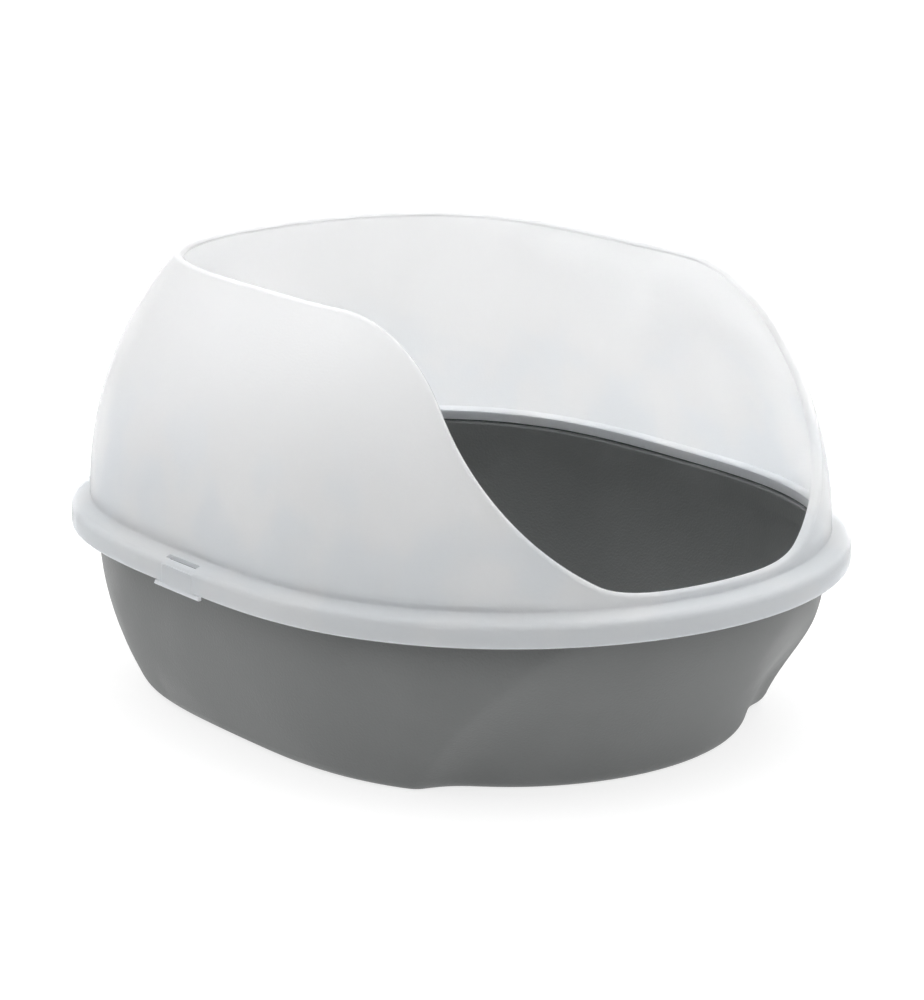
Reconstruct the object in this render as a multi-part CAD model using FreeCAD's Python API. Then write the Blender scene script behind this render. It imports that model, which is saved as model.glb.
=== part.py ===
import FreeCAD, Part
import math
import os

# Cat litter box with a lift-off hood: a deep oval tray, and an open-topped surround that drops over
# the tray's rim, screens the back and sides, and dips to a low entry at the front.
#
# Frame: millimetres, +Z up, origin on the floor under the middle of the box, entry towards -Y.
# The box is symmetric about the plane X = 0.
#
# Both mouldings are rings: one section swept round the oval outline, changing as it goes. A section
# point is (inset, height): how far it lies inside the outline, square to it, and how high above the floor.

Vector = FreeCAD.Vector

# ---- Driving dimensions --------------------------------------------------------------------------

# Outline of the hood's skirt, the widest part: radius = sum of cosines[k] * cos(k * angle), where the
# angle is measured from the back (+Y) towards +X. It is 400 wide and 490 long.
OUTLINE_COSINES = (227.7, 2.6, 22.8, -1.0, -5.4, -1.6)
STATIONS = 480                  # sections round the outline

# Tray wall
TRAY_WALL = 2.3                 # thickness of wall and floor
WALL_TOP_HEIGHT = 102.0         # the curved wall ends here and the rim begins
WALL_TOP_INSET = 16.0
FOOT_INSET = 43.0               # where the wall would meet the floor, at the sides and back
FRONT_FOOT_INSET = 45.0         # and at the front
WALL_BULGE = 7.4                # how far mid-wall stands out from a straight slope, at the sides and back
FRONT_BULGE = 4.5               # and at the front
FRONT_TWIST = 8.2               # at the front the wall swells above mid-height and hollows below it
FRONT_WALL_START = 95.0         # angle where the side wall begins to change into the front wall
FRONT_WALL_BLEND = 42.0         # degrees over which it does
FOOT_ROUNDING = 7.0             # the corner between wall and floor is cut back this far
WALL_ROWS = 22                  # heights at which the curved wall is defined

# Recessed front panel of the tray: a step rises from the foot and sweeps forward until it fades out
PANEL_DEPTH = 14.7              # at the floor
PANEL_FULLNESS = 12.9           # extra depth, shared out between floor and rim
STEP_START = 131.5              # angle of the step's crest at the floor, degrees from the back
STEP_LEAN = 0.2                 # degrees forward per mm of height
STEP_SWEEP = 7.0e-6             # degrees forward per mm cubed, which bends the step over near the rim
STEP_FOOT_WIDTH = 16.0          # degrees from the crest to full depth, at the floor
STEP_RIM_WIDTH = 26.0           # and at the rim
STEP_STEEPNESS = 4              # how much of the depth comes right behind the crest
CREST_ROUNDING = 1.0            # degrees

# Tray rim: outward shelf, lip turned down at its edge, and an upstand that the hood straddles
WALL_FILLET = 5.0               # between the wall and the underside of the shelf
SHELF_UNDERSIDE = 110.2
SHELF_OUTER = 111.2             # height of the shelf's top at the lip
SHELF_INNER = 114.7             # height of the shelf's top at the foot of the upstand
SHELF_ROUNDING = 2.0
LIP_INSET = 2.4
LIP_THICKNESS = 2.0
LIP_BOTTOM = 99.3
LIP_FILLET = 1.5
UPSTAND_INSET = 13.8
UPSTAND_THICKNESS = 1.5
UPSTAND_TOP = 119.8
UPSTAND_TOP_FRONT = 117.5       # lower under the entry, where the hood is lowest
FRONT_START = 160.0             # degrees; in front of this the upstand is at its low height
FRONT_BLEND = 12.0              # degrees over which it comes down
LEDGE_HEIGHT = 113.8            # ledge inside the upstand, at the top of the inner wall
LEDGE_ROUNDING = 1.4

# Hood rim: skirt, sloping flange, and a slot underneath that takes the tray's upstand
SKIRT_BOTTOM = 100.5
SKIRT_THICKNESS = 1.8
SHOULDER_ROUNDING = 3.0         # outer corner of skirt and flange
FLANGE_OUTER = 113.5            # height of the flange's top at that corner
FLANGE_INNER = 117.5            # and where the hood wall stands on it
FLANGE_THICKNESS = 1.9
FLANGE_FILLET = 0.8             # between the flange and the wall
INNER_LEG_INSET = 15.8          # leg that hangs inside the tray's upstand
INNER_LEG_THICKNESS = 1.6
INNER_LEG_BOTTOM = 115.1
CHANNEL_GAP = 0.7               # room above the upstand in the slot that takes it
LEDGE_START = 5.8               # the inside of the wall turns into the ledge this high above the flange
LEDGE_FALL = 0.4                # the ledge ends this far above the slot's roof

# Hood wall: upright at the flange, then an arc leaning inward
HOOD_WALL = 2.0
HOOD_WALL_INSET = 11.3
HOOD_WALL_RADIUS = 223.0

# Free edge of the hood, seen from the side: level, an arc down, a slope, an arc back to level
EDGE_TOP = 264.5
EDGE_ARC_START_Y = -60.0
EDGE_TOP_RADIUS = 108.0
EDGE_SLOPE = 52.0               # degrees
EDGE_BOTTOM_RADIUS = 17.0
ENTRY_HEIGHT = 122.4
EDGE_LIP = 6.1                  # the edge turns inward by this much, square to the wall
EDGE_LIP_THICKNESS = 2.0
EDGE_ROUNDING = 3.1             # outer corner of the edge
EDGE_FILLET = 1.2               # under the lip, inside
OPENING_BLEND = 8.0             # the inside of the wall takes its full shape this far above the entry

# Snap clips, one each side: a tab hanging from the hood's shoulder, freed by a slot and a window
CLIP_ANGLE = 88.5               # degrees from the back
TAB_WIDTH = 31.0
TAB_GAP = 0.35                  # all round the tab
WINDOW_TOP = 111.6
SLOT_INSET = 3.0
SLOT_WIDTH = 3.2
LUG_WIDTH = 45.0                # finger lug along the tab's foot, just under the skirt
LUG_TOP = 100.1
LUG_BOTTOM = 97.8
LUG_PROUD = 0.8                 # the lug stands out from the skirt
LUG_BEVEL = 0.5
HOOK_TOP = 99.0                 # the hook catches under the tray's lip
HOOK_INSET = 4.0
HOOK_THICKNESS = 0.5            # at its tip
CUT_MARGIN = 1.0                # cutting blocks run past the surfaces they cut by this much

ROUND_END = 0.45                # rounding of a thin edge, as a share of its thickness
FLAT_LEFT = 0.1                 # straight piece left between a rounding and the next face
SHORTEST_INSIDE = 0.5           # the inside of the wall keeps at least this length
SEW_TOLERANCE = 0.001


# ---- Outline -------------------------------------------------------------------------------------

def outline_frame(angle):
    """Point of the outline at this angle, and the outward normal there."""
    radius = sum(c * math.cos(k * angle) for k, c in enumerate(OUTLINE_COSINES))
    slope = sum(-k * c * math.sin(k * angle) for k, c in enumerate(OUTLINE_COSINES))
    outward = Vector(math.sin(angle), math.cos(angle), 0)
    along = Vector(math.cos(angle), -math.sin(angle), 0)
    tangent = outward * slope + along * radius
    normal = Vector(-tangent.y, tangent.x, 0).normalize()
    return outward * radius, normal


ANGLES = [2 * math.pi * i / STATIONS for i in range(STATIONS)]
FRAMES = [outline_frame(angle) for angle in ANGLES]


def place(frame, section_point):
    """The 3-D point of a section point at one station."""
    point, normal = frame
    inset, height = section_point
    return point - normal * inset + Vector(0, 0, height)


def degrees_from_back(angle):
    """Angle folded on to one side of the box, 0 at the back and 180 at the front."""
    return math.degrees(min(angle, 2 * math.pi - angle))


def smooth_step(value):
    """0 below 0, 1 above 1, and a smooth curve between."""
    value = min(max(value, 0.0), 1.0)
    return value * value * value * (value * (6 * value - 15) + 10)


def mix(first, second, share):
    """Point on the way from the first to the second."""
    return (first[0] + (second[0] - first[0]) * share, first[1] + (second[1] - first[1]) * share)


# ---- Sections ------------------------------------------------------------------------------------
# A section is a list of strips. A strip is (kind, points): kind "bezier" takes its points as the
# control points of one Bezier arc, and kind "through" runs a smooth curve through them.

def line(start, end):
    return "bezier", [start, end]


def towards(start, end, distance):
    return mix(start, end, distance / math.dist(start, end))


def path(corners):
    """Strips along straight lines through these (inset, height, rounding) points. Rounding says how far
    back from the point, along both lines that meet there, its rounded corner begins."""
    points = [(inset, height) for inset, height, _ in corners]
    strips = []
    start = points[0]
    for number in range(1, len(corners) - 1):
        before, here, after = points[number - 1:number + 2]
        rounding = corners[number][2]
        arrive = towards(here, before, rounding)
        strips.append(line(start, arrive))
        start = towards(here, after, rounding)
        if rounding:
            strips.append(("bezier", [arrive, here, start]))
    strips.append(line(start, points[-1]))
    return strips


# ---- Surfaces from sections ----------------------------------------------------------------------

def periodic_poles(points):
    curve = Part.BSplineCurve()
    curve.interpolate(Points=points, PeriodicFlag=True, Parameters=list(range(len(points) + 1)))
    return curve


def open_poles(points):
    curve = Part.BSplineCurve()
    curve.interpolate(Points=points, Parameters=list(range(len(points))))
    return curve


def strip_face(kind, rows):
    """One face through rows of points; each row goes once round the box."""
    curves = [periodic_poles(row) for row in rows]
    around = curves[0]
    columns = list(zip(*[curve.getPoles() for curve in curves]))
    if kind == "bezier":
        degree = len(rows) - 1
        knots = [0.0, 1.0]
        multiplicities = [degree + 1, degree + 1]
        poles = [list(column) for column in columns]
    else:
        fitted = [open_poles(list(column)) for column in columns]
        degree = fitted[0].Degree
        knots = fitted[0].getKnots()
        multiplicities = fitted[0].getMultiplicities()
        poles = [curve.getPoles() for curve in fitted]
    surface = Part.BSplineSurface()
    surface.buildFromPolesMultsKnots(poles, around.getMultiplicities(), multiplicities, around.getKnots(),
                                     knots, True, False, around.Degree, degree)
    return surface.toShape()


def cap_face(row):
    """Flat face filling one level row."""
    return Part.Face(Part.Wire([periodic_poles(row).toShape()]))


def outward_solid(solid):
    """The solid with its faces turned outward."""
    if solid.Volume < 0:
        solid.reverse()
    return solid


def sweep(section, capped=False):
    """Solid swept round the box. section(angle, frame) gives the strips; capped closes both ends flat."""
    sections = [section(angle, frame) for angle, frame in zip(ANGLES, FRAMES)]
    faces = []
    for number, (kind, first_points) in enumerate(sections[0]):
        rows = []
        for column in range(len(first_points)):
            rows.append([place(frame, strips[number][1][column]) for frame, strips in zip(FRAMES, sections)])
        faces.append(strip_face(kind, rows))
        if capped and number == 0:
            faces.append(cap_face(rows[0]))
        if capped and number == len(sections[0]) - 1:
            faces.append(cap_face(rows[-1]))
    skin = Part.Compound(faces)
    skin.sewShape(SEW_TOLERANCE)
    return outward_solid(Part.Solid(skin.Shells[0]))


# ---- Tray ----------------------------------------------------------------------------------------

def panel_recess(angle, height):
    """How far the front panel lies behind the side wall's surface."""
    rise = height / WALL_TOP_HEIGHT
    depth = (1 - rise) * (PANEL_DEPTH + PANEL_FULLNESS * rise)
    step_angle = STEP_START + STEP_LEAN * height + STEP_SWEEP * height ** 3
    step_width = STEP_FOOT_WIDTH + (STEP_RIM_WIDTH - STEP_FOOT_WIDTH) * rise
    past_crest = degrees_from_back(angle) - step_angle
    rounded = (past_crest + math.hypot(past_crest, CREST_ROUNDING)) / 2
    left = 1 - min(rounded / step_width, 1)
    return depth * (1 - left ** STEP_STEEPNESS)


def wall_inset(angle, height):
    """Inset of the tray's outer face."""
    rise = height / WALL_TOP_HEIGHT
    front = smooth_step((degrees_from_back(angle) - FRONT_WALL_START) / FRONT_WALL_BLEND)
    foot = FOOT_INSET + (FRONT_FOOT_INSET - FOOT_INSET) * front
    front_bulge = FRONT_BULGE + FRONT_TWIST * (2 * rise - 1)
    bulge = WALL_BULGE * (1 - front) + front_bulge * front
    straight = foot * (1 - rise) + WALL_TOP_INSET * rise
    return straight - 4 * bulge * rise * (1 - rise) + panel_recess(angle, height)


def wall_rows(angle, low, offset):
    """Section points up the curved wall from this height; offset is inward from the outer face."""
    heights = [low + (WALL_TOP_HEIGHT - low) * i / (WALL_ROWS - 1) for i in range(WALL_ROWS)]
    return [(wall_inset(angle, height) + offset, height) for height in heights]


def upstand_top(angle):
    backward = smooth_step((FRONT_START - degrees_from_back(angle)) / FRONT_BLEND)
    return UPSTAND_TOP_FRONT + (UPSTAND_TOP - UPSTAND_TOP_FRONT) * backward


def tray_rim(angle):
    """Strips from the top of the wall's outer face, over the rim, to the top of its inner face."""
    lip_inner = LIP_INSET + LIP_THICKNESS
    lip_end = LIP_THICKNESS * ROUND_END
    upstand_inner = UPSTAND_INSET + UPSTAND_THICKNESS
    upstand_end = UPSTAND_THICKNESS * ROUND_END
    wall_inner = WALL_TOP_INSET + TRAY_WALL
    top = upstand_top(angle)
    return path([
        (WALL_TOP_INSET, WALL_TOP_HEIGHT, 0),
        (WALL_TOP_INSET, SHELF_UNDERSIDE, WALL_FILLET),
        (lip_inner, SHELF_UNDERSIDE, LIP_FILLET),
        (lip_inner, LIP_BOTTOM, lip_end),
        (LIP_INSET, LIP_BOTTOM, lip_end),
        (LIP_INSET, SHELF_OUTER, SHELF_ROUNDING),
        (UPSTAND_INSET, SHELF_INNER, 0),
        (UPSTAND_INSET, top, upstand_end),
        (upstand_inner, top, upstand_end),
        (upstand_inner, LEDGE_HEIGHT, 0),
        (wall_inner, LEDGE_HEIGHT, LEDGE_ROUNDING),
        (wall_inner, WALL_TOP_HEIGHT, 0),
    ])


def tray_section(angle, frame):
    """Strips from the middle of the underside, up the outside, over the rim and down to the floor."""
    foot = wall_inset(angle, 0)
    inner_foot = foot + TRAY_WALL
    inner_rounding = FOOT_ROUNDING + TRAY_WALL
    outer = wall_rows(angle, FOOT_ROUNDING, 0)
    inner = wall_rows(angle, inner_rounding, TRAY_WALL)
    inner.reverse()
    outer_corner = [(foot + FOOT_ROUNDING, 0), (foot, 0), outer[0]]
    inner_corner = [inner[-1], (inner_foot, TRAY_WALL), (inner_foot + inner_rounding, TRAY_WALL)]
    return [
        ("bezier", outer_corner),
        ("through", outer),
        *tray_rim(angle),
        ("through", inner),
        ("bezier", inner_corner),
    ]


# ---- Hood ----------------------------------------------------------------------------------------

def edge_profile(y):
    """Height of the hood's free edge at this y, in side view."""
    slope = math.radians(EDGE_SLOPE)
    forward = EDGE_ARC_START_Y - y
    top_run = EDGE_TOP_RADIUS * math.sin(slope)
    top_drop = EDGE_TOP_RADIUS * (1 - math.cos(slope))
    bottom_run = EDGE_BOTTOM_RADIUS * math.sin(slope)
    bottom_drop = EDGE_BOTTOM_RADIUS * (1 - math.cos(slope))
    straight_run = (EDGE_TOP - ENTRY_HEIGHT - top_drop - bottom_drop) / math.tan(slope)
    whole_run = top_run + straight_run + bottom_run
    if forward <= 0:
        return EDGE_TOP
    if forward <= top_run:
        return EDGE_TOP - EDGE_TOP_RADIUS + math.sqrt(EDGE_TOP_RADIUS ** 2 - forward ** 2)
    if forward <= top_run + straight_run:
        return EDGE_TOP - top_drop - (forward - top_run) * math.tan(slope)
    if forward <= whole_run:
        left = whole_run - forward
        return ENTRY_HEIGHT + EDGE_BOTTOM_RADIUS - math.sqrt(EDGE_BOTTOM_RADIUS ** 2 - left ** 2)
    return ENTRY_HEIGHT


def wall_point(rise, offset):
    """Point of the hood wall this far up its arc from the flange; offset is inward from its outer face."""
    lean = rise / HOOD_WALL_RADIUS
    radius = HOOD_WALL_RADIUS - offset
    inset = HOOD_WALL_INSET + HOOD_WALL_RADIUS - radius * math.cos(lean)
    return inset, FLANGE_INNER + radius * math.sin(lean)


def wall_arc(start, end, offset):
    """Control points of the wall's arc between two rises."""
    radius = HOOD_WALL_RADIUS - offset
    start_lean = start / HOOD_WALL_RADIUS
    end_lean = end / HOOD_WALL_RADIUS
    reach = 4.0 / 3.0 * math.tan((end_lean - start_lean) / 4) * radius
    first = wall_point(start, offset)
    last = wall_point(end, offset)
    after_first = (first[0] + reach * math.sin(start_lean), first[1] + reach * math.cos(start_lean))
    before_last = (last[0] - reach * math.sin(end_lean), last[1] - reach * math.cos(end_lean))
    return [first, after_first, before_last, last]


def edge_rise(frame):
    """How far up its arc the wall meets the side-view profile of the free edge."""
    low = 0.0
    high = HOOD_WALL_RADIUS
    while high - low > 1e-6:
        rise = (low + high) / 2
        point = place(frame, wall_point(rise, 0))
        if edge_profile(point.y) > point.z:
            low = rise
        else:
            high = rise
    return low


def hood_section(angle, frame):
    """Strips up the outside of the skirt, over the free edge, down the inside and round the rim's slot."""
    rise = edge_rise(frame)
    lean = rise / HOOD_WALL_RADIUS

    def at_edge(along, down):
        """Point measured from the free edge's outer corner: inward along the lip, and down the wall."""
        inset, height = wall_point(rise, 0)
        return (inset + along * math.cos(lean) - down * math.sin(lean),
                height - along * math.sin(lean) - down * math.cos(lean))

    seam = (0, (SKIRT_BOTTOM + FLANGE_OUTER) / 2)
    wall_start = FLANGE_FILLET + FLAT_LEFT
    wall_end = rise - EDGE_ROUNDING - FLAT_LEFT
    outside = path([
        (*seam, 0),
        (0, FLANGE_OUTER, SHOULDER_ROUNDING),
        (HOOD_WALL_INSET, FLANGE_INNER, FLANGE_FILLET),
        (*wall_point(wall_start, 0), 0),
    ])

    lip_end = EDGE_LIP_THICKNESS * ROUND_END
    lip_under = at_edge(EDGE_LIP - EDGE_LIP_THICKNESS, EDGE_LIP_THICKNESS)
    edge = path([
        (*wall_point(wall_end, 0), 0),
        (*at_edge(0, 0), EDGE_ROUNDING),
        (*at_edge(EDGE_LIP, 0), lip_end),
        (*at_edge(EDGE_LIP, EDGE_LIP_THICKNESS), lip_end),
        (*lip_under, 0),
    ])

    # Inside, the wall's height shrinks to nothing as the edge comes down to the entry, so its points
    # close up there on to the straight line from the lip to the slot.
    channel_top = upstand_top(angle) + CHANNEL_GAP
    leg_inner = INNER_LEG_INSET + INNER_LEG_THICKNESS
    ledge_end = (leg_inner, channel_top + LEDGE_FALL)
    openness = smooth_step((rise - (ENTRY_HEIGHT - FLANGE_INNER)) / OPENING_BLEND)
    inner_end = max(rise - EDGE_LIP_THICKNESS - EDGE_FILLET, LEDGE_START + SHORTEST_INSIDE)
    full = [at_edge(HOOD_WALL + EDGE_FILLET, EDGE_LIP_THICKNESS), at_edge(HOOD_WALL, EDGE_LIP_THICKNESS)]
    full += reversed(wall_arc(LEDGE_START, inner_end, HOOD_WALL))
    inner = []
    for number, point in enumerate(full):
        closed = mix(lip_under, ledge_end, (number + 1) / (len(full) + 1))
        inner.append(mix(closed, point, openness))

    leg_end = INNER_LEG_THICKNESS * ROUND_END
    skirt_end = SKIRT_THICKNESS * ROUND_END
    wall_inner = HOOD_WALL_INSET + HOOD_WALL
    rim = path([
        (*inner[-1], 0),
        (*ledge_end, 0),
        (leg_inner, INNER_LEG_BOTTOM, leg_end),
        (INNER_LEG_INSET, INNER_LEG_BOTTOM, leg_end),
        (INNER_LEG_INSET, channel_top, 0),
        (wall_inner, channel_top, 0),
        (wall_inner, FLANGE_INNER - FLANGE_THICKNESS, 0),
        (SKIRT_THICKNESS, FLANGE_OUTER - FLANGE_THICKNESS, SHOULDER_ROUNDING - HOOD_WALL / 2),
        (SKIRT_THICKNESS, SKIRT_BOTTOM, skirt_end),
        (0, SKIRT_BOTTOM, skirt_end),
        (*seam, 0),
    ])
    return [
        *outside,
        ("bezier", wall_arc(wall_start, wall_end, 0)),
        *edge,
        line(lip_under, inner[0]),
        ("bezier", inner[:3]),
        ("bezier", inner[2:]),
        *rim,
    ]


# ---- Snap clips ----------------------------------------------------------------------------------

def clip_block(side, width, insets, heights):
    """Block square to the outline at a clip: width along it, and a range of insets and heights."""
    point, normal = outline_frame(math.radians(CLIP_ANGLE) * side)
    tangent = Vector(-normal.y, normal.x, 0)
    low, high = heights
    near, far = insets
    corners = []
    for along, inset in ((-1, near), (1, near), (1, far), (-1, far), (-1, near)):
        corners.append(point + tangent * (along * width / 2) - normal * inset + Vector(0, 0, low))
    return Part.Face(Part.makePolygon(corners)).extrude(Vector(0, 0, high - low))


def clip_segment(side, start, end, section):
    """Solid along the outline from start to end, in mm from the clip's middle; section is a polygon."""
    middle = math.radians(CLIP_ANGLE) * side
    radius = outline_frame(middle)[0].Length
    wires = []
    for share in (0, 0.25, 0.5, 0.75, 1):
        frame = outline_frame(middle + (start + (end - start) * share) / radius)
        points = [place(frame, point) for point in section]
        wires.append(Part.makePolygon(points + points[:1]))
    return outward_solid(Part.makeLoft(wires, True))


def make_clip(side):
    """Tab with a hook that catches under the tray's lip, and a finger lug that reaches past it both ways."""
    foot = [
        (SKIRT_THICKNESS, LUG_BOTTOM),
        (LUG_BEVEL - LUG_PROUD, LUG_BOTTOM),
        (-LUG_PROUD, LUG_BOTTOM + LUG_BEVEL),
        (0, LUG_TOP),
    ]
    tab_top = WINDOW_TOP - TAB_GAP
    hook = [(SKIRT_THICKNESS, HOOK_TOP), (HOOK_INSET, HOOK_TOP), (HOOK_INSET, HOOK_TOP - HOOK_THICKNESS)]
    tab_section = foot + [(0, tab_top), (SKIRT_THICKNESS, tab_top)] + hook
    lug_section = foot + [(SKIRT_THICKNESS, LUG_TOP)]
    tab = clip_segment(side, -TAB_WIDTH / 2, TAB_WIDTH / 2, tab_section)
    lug_before = clip_segment(side, -LUG_WIDTH / 2, -TAB_WIDTH / 2, lug_section)
    lug_after = clip_segment(side, TAB_WIDTH / 2, LUG_WIDTH / 2, lug_section)
    return tab.fuse([lug_before, lug_after]).removeSplitter()


def make_hood():
    hood = sweep(hood_section)
    window_insets = (-CUT_MARGIN, SKIRT_THICKNESS + CUT_MARGIN)
    window_heights = (SKIRT_BOTTOM - CUT_MARGIN, WINDOW_TOP)
    slot_insets = (SLOT_INSET, SLOT_INSET + SLOT_WIDTH)
    slot_heights = (FLANGE_OUTER - FLANGE_THICKNESS - CUT_MARGIN, FLANGE_INNER + CUT_MARGIN)
    for side in (-1, 1):
        window = clip_block(side, TAB_WIDTH + 2 * TAB_GAP, window_insets, window_heights)
        slot = clip_block(side, TAB_WIDTH, slot_insets, slot_heights)
        hood = hood.cut([window, slot])
    return hood


def main():
    parts = {
        "base_tray": sweep(tray_section, capped=True),
        "hood": make_hood(),
        "left_clip": make_clip(-1),
        "right_clip": make_clip(1),
    }
    os.makedirs("parts", exist_ok=True)
    for name, shape in parts.items():
        box = shape.BoundBox
        print(name, "valid", shape.isValid(), "solids", len(shape.Solids), "volume", round(shape.Volume),
              "x", round(box.XMin, 1), round(box.XMax, 1), "y", round(box.YMin, 1), round(box.YMax, 1),
              "z", round(box.ZMin, 1), round(box.ZMax, 1))
        shape.exportStep("parts/" + name + ".step")


main()
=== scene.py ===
import math

import bpy
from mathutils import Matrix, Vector

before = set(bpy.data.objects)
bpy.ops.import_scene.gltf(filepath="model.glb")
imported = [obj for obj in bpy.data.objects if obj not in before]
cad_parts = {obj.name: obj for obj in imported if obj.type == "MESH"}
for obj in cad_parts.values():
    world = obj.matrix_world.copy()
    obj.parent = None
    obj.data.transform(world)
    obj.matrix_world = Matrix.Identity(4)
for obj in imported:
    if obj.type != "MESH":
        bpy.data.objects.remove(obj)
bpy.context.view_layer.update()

# A cat litter box with a lift-off hood: a grey tray, and a frosted surround that dips at the entry.
# Metres, +Z up, on the floor at Z = 0, entry towards -Y.

# ---- View ----------------------------------------------------------------------------------------

CAMERA_AZIMUTH = math.radians(-37.87)     # 0 looks along +Y, with +X to the right
CAMERA_ELEVATION = math.radians(14.94)
CAMERA_DISTANCE = 2.2
CAMERA_TARGET = Vector((0.0167, 0.0202, 0.1133))
CAMERA_LENS = 131.4                       # mm, on a 36 mm sensor

# ---- Surfaces ------------------------------------------------------------------------------------
# Grain is the fine texture of the mould; a patch is a broad, faint change over the surface. Scales
# are features per metre, and a pair of values is the two ends that a surface varies between.

TRAY_GREY_DARK = (0.145, 0.151, 0.150)
TRAY_GREY_LIGHT = (0.160, 0.166, 0.165)
TRAY_GRAIN_SCALE = 700.0
TRAY_GRAIN_DEPTH = 0.00025
TRAY_ROUGHNESS = (0.40, 0.54)
TRAY_PATCH_SCALE = 16.0
TRAY_SPECULAR = 0.32

# Painted shade: the surround's colour low down, darker and bluer, standing in for the dark tray behind
# it.
FROSTED_PAINTED_SHADE_LOW = (0.905, 0.923, 0.94)
FROSTED_HIGH = (0.952, 0.954, 0.957)
PAINTED_SHADE_HEIGHTS = (0.10, 0.19)             # heights between which the painted shade low down fades into the plain frosted tone
PAINTED_SHADE_CLOUDING = 0.035                  # how far the patches move the border of the painted shade up and down
FROSTED_GRAIN_SCALE = 900.0
FROSTED_GRAIN_DEPTH = 0.0001
FROSTED_ROUGHNESS = (0.90, 1.0)
FROSTED_PATCH_SCALE = 22.0
FROSTED_IOR = 1.2
FROSTED_CLEAR = 0.65

NOISE_LOW = 0.35                          # nearly all of the noise lies between these
NOISE_HIGH = 0.65

# ---- Light ---------------------------------------------------------------------------------------

FLOOR_SIZE = 60
FLOOR_GLOW = 0.76
FLOOR_ALBEDO = 0.32
FLOOR_SPECULAR = 0.1
FLOOR_ROUGHNESS = (0.80, 0.95)
FLOOR_PATCH_SCALE = 40.0
WALL_BRIGHTNESS = 1.0
ROOM_BRIGHTNESS = 0.05
ROOM_DIRECTION = (-0.55, -0.80, 0.15)
ROOM_SPREAD = (-0.82, 0.43)
CEILING_BRIGHTNESS = 1.65
CEILING_SPREAD = (0.35, 0.9)
LIGHT_TARGET = Vector((0, 0, 0.12))
LIGHT_SIZE = 1.6
LEFT_DIRECTION = (-0.79, 0.35, 0.35)
LEFT_DISTANCE = 2.0
LEFT_POWER = 3
TOP_DIRECTION = (0.15, -0.45, 1.0)
TOP_DISTANCE = 2.2
TOP_POWER = 8


def new_camera():
    """Camera on a sphere round the target, looking at it."""
    back = Vector((
        math.sin(CAMERA_AZIMUTH) * math.cos(CAMERA_ELEVATION),
        -math.cos(CAMERA_AZIMUTH) * math.cos(CAMERA_ELEVATION),
        math.sin(CAMERA_ELEVATION),
    ))
    data = bpy.data.cameras.new("camera")
    data.lens = CAMERA_LENS
    data.clip_end = 100
    camera = bpy.data.objects.new("camera", data)
    camera.location = CAMERA_TARGET + back * CAMERA_DISTANCE
    camera.rotation_euler = back.to_track_quat("Z", "Y").to_euler()
    bpy.context.scene.collection.objects.link(camera)
    bpy.context.scene.camera = camera


def new_material(name):
    """New node material, its node tree and its Principled node."""
    material = bpy.data.materials.new(name)
    material.use_nodes = True
    tree = material.node_tree
    shader = tree.nodes["Principled BSDF"]
    return material, tree, shader


def map_range(tree, value, from_low, from_high, to_low, to_high):
    """Smooth step of a value between two limits; returns its output socket."""
    node = tree.nodes.new("ShaderNodeMapRange")
    node.interpolation_type = "SMOOTHSTEP"
    node.inputs["From Min"].default_value = from_low
    node.inputs["From Max"].default_value = from_high
    node.inputs["To Min"].default_value = to_low
    node.inputs["To Max"].default_value = to_high
    tree.links.new(value, node.inputs["Value"])
    return node.outputs["Result"]


def noise(tree, scale):
    """Noise that is fixed to the surface, with this many features per metre."""
    coordinates = tree.nodes.new("ShaderNodeTexCoord")
    node = tree.nodes.new("ShaderNodeTexNoise")
    node.inputs["Scale"].default_value = scale
    tree.links.new(coordinates.outputs["Object"], node.inputs["Vector"])
    return node.outputs["Fac"]


def add_grain(tree, shader, scale, depth):
    """Fine raised grain over the whole surface."""
    bump = tree.nodes.new("ShaderNodeBump")
    bump.inputs["Distance"].default_value = depth
    tree.links.new(noise(tree, scale), bump.inputs["Height"])
    tree.links.new(bump.outputs["Normal"], shader.inputs["Normal"])


def vary_roughness(tree, shader, scale, limits):
    """Patches of slightly different gloss."""
    roughness = map_range(tree, noise(tree, scale), NOISE_LOW, NOISE_HIGH, *limits)
    tree.links.new(roughness, shader.inputs["Roughness"])


def blend_colour(tree, shader, share, first, second):
    """Base colour on the way from the first to the second."""
    mix = tree.nodes.new("ShaderNodeMix")
    mix.data_type = "RGBA"
    mix.inputs["A"].default_value = (*first, 1)
    mix.inputs["B"].default_value = (*second, 1)
    tree.links.new(share, mix.inputs["Factor"])
    tree.links.new(mix.outputs["Result"], shader.inputs["Base Color"])


def floor_material():
    """Light-table white: it glows a little, so the box hardly shades it."""
    material, tree, shader = new_material("floor")
    shader.inputs["Base Color"].default_value = (FLOOR_ALBEDO, FLOOR_ALBEDO, FLOOR_ALBEDO, 1)
    shader.inputs["Specular IOR Level"].default_value = FLOOR_SPECULAR
    shader.inputs["Emission Color"].default_value = (1, 1, 1, 1)
    shader.inputs["Emission Strength"].default_value = FLOOR_GLOW
    vary_roughness(tree, shader, FLOOR_PATCH_SCALE, FLOOR_ROUGHNESS)
    return material


def new_floor():
    """Plain pale floor that runs out past the view."""
    bpy.ops.mesh.primitive_plane_add(size=FLOOR_SIZE, location=(0, 0, 0))
    floor = bpy.context.object
    floor.name = "floor"
    floor.data.materials.append(floor_material())


def area_light(name, direction, distance, power):
    """Square soft box that faces the middle of the object."""
    data = bpy.data.lights.new(name, "AREA")
    data.shape = "SQUARE"
    data.size = LIGHT_SIZE
    data.energy = power
    light = bpy.data.objects.new(name, data)
    light.location = LIGHT_TARGET + Vector(direction).normalized() * distance
    light.rotation_euler = (light.location - LIGHT_TARGET).to_track_quat("Z", "Y").to_euler()
    bpy.context.scene.collection.objects.link(light)


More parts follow.
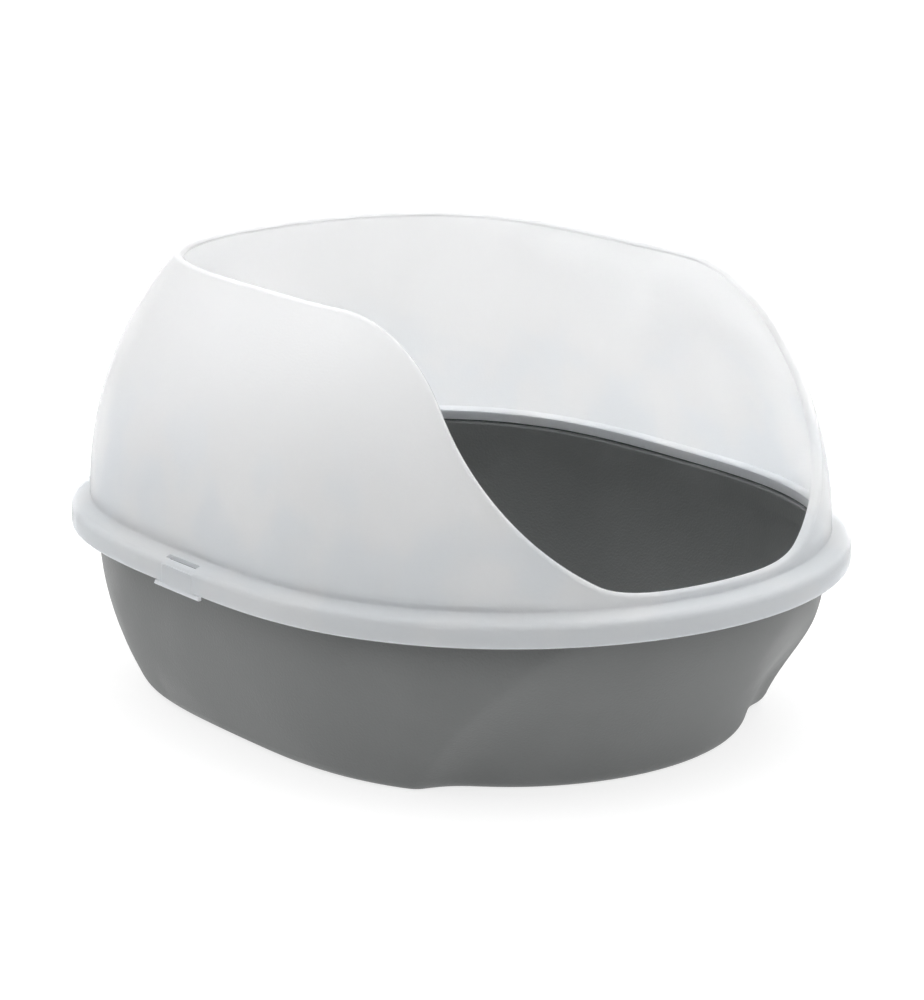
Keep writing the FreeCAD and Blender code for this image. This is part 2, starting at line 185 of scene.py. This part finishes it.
def toward(tree, coordinates, direction):
    """Cosine of the angle between a world direction and this one."""
    node = tree.nodes.new("ShaderNodeVectorMath")
    node.operation = "DOT_PRODUCT"
    node.inputs[1].default_value = Vector(direction).normalized()
    tree.links.new(coordinates, node.inputs[0])
    return node.outputs["Value"]


def new_world():
    """Studio: white walls, darker where the room is open, and a broad white ceiling."""
    world = bpy.data.worlds.new("studio")
    world.use_nodes = True
    tree = world.node_tree
    coordinates = tree.nodes.new("ShaderNodeTexCoord").outputs["Generated"]
    walls = map_range(tree, toward(tree, coordinates, ROOM_DIRECTION), *ROOM_SPREAD,
                      WALL_BRIGHTNESS, ROOM_BRIGHTNESS)
    ceiling = map_range(tree, toward(tree, coordinates, (0, 0, 1)), *CEILING_SPREAD,
                        0, CEILING_BRIGHTNESS)
    total = tree.nodes.new("ShaderNodeMath")
    total.operation = "ADD"
    tree.links.new(walls, total.inputs[0])
    tree.links.new(ceiling, total.inputs[1])
    background = tree.nodes["Background"]
    background.inputs["Color"].default_value = (1, 1, 1, 1)
    tree.links.new(total.outputs["Value"], background.inputs["Strength"])
    bpy.context.scene.world = world


def new_lights():
    new_world()
    area_light("left_box", LEFT_DIRECTION, LEFT_DISTANCE, LEFT_POWER)
    area_light("top_box", TOP_DIRECTION, TOP_DISTANCE, TOP_POWER)


def tray_material():
    """Grey polypropylene, moulded with a fine matt grain."""
    material, tree, shader = new_material("grey_polypropylene")
    shader.inputs["Specular IOR Level"].default_value = TRAY_SPECULAR
    patches = map_range(tree, noise(tree, TRAY_PATCH_SCALE), NOISE_LOW, NOISE_HIGH, 0, 1)
    blend_colour(tree, shader, patches, TRAY_GREY_DARK, TRAY_GREY_LIGHT)
    vary_roughness(tree, shader, TRAY_PATCH_SCALE, TRAY_ROUGHNESS)
    add_grain(tree, shader, TRAY_GRAIN_SCALE, TRAY_GRAIN_DEPTH)
    return material


def painted_shade_height(tree):
    """0 low on the surround and 1 high up, with a cloudy border between: the mask for the shade painted
    low down.
    """
    coordinates = tree.nodes.new("ShaderNodeTexCoord")
    split = tree.nodes.new("ShaderNodeSeparateXYZ")
    tree.links.new(coordinates.outputs["Object"], split.inputs["Vector"])
    shift = map_range(tree, noise(tree, FROSTED_PATCH_SCALE), NOISE_LOW, NOISE_HIGH,
                      -PAINTED_SHADE_CLOUDING, PAINTED_SHADE_CLOUDING)
    total = tree.nodes.new("ShaderNodeMath")
    total.operation = "ADD"
    tree.links.new(split.outputs["Z"], total.inputs[0])
    tree.links.new(shift, total.inputs[1])
    return map_range(tree, total.outputs["Value"], *PAINTED_SHADE_HEIGHTS, 0, 1)


def hood_material():
    """Frosted polypropylene: it lets light through but scatters it. It is painted darker and bluer low
    down, as shade where the dark tray sits behind it.
    """
    material, tree, shader = new_material("frosted_polypropylene")
    shader.inputs["IOR"].default_value = FROSTED_IOR
    shader.inputs["Transmission Weight"].default_value = FROSTED_CLEAR
    # Painted shade: a darker, bluer colour low on the surround, blended in by the height mask.
    blend_colour(tree, shader, painted_shade_height(tree), FROSTED_PAINTED_SHADE_LOW, FROSTED_HIGH)
    vary_roughness(tree, shader, FROSTED_PATCH_SCALE, FROSTED_ROUGHNESS)
    add_grain(tree, shader, FROSTED_GRAIN_SCALE, FROSTED_GRAIN_DEPTH)
    return material


def paint(node, material):
    """Gives the material to a CAD node's object."""
    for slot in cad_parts[node].material_slots:
        slot.material = material


new_camera()
new_floor()
new_lights()
tray = tray_material()
frosted = hood_material()
paint("base_tray", tray)
for node in ("hood", "left_clip", "right_clip"):
    paint(node, frosted)

scene = bpy.context.scene
scene.view_settings.view_transform = "Standard"
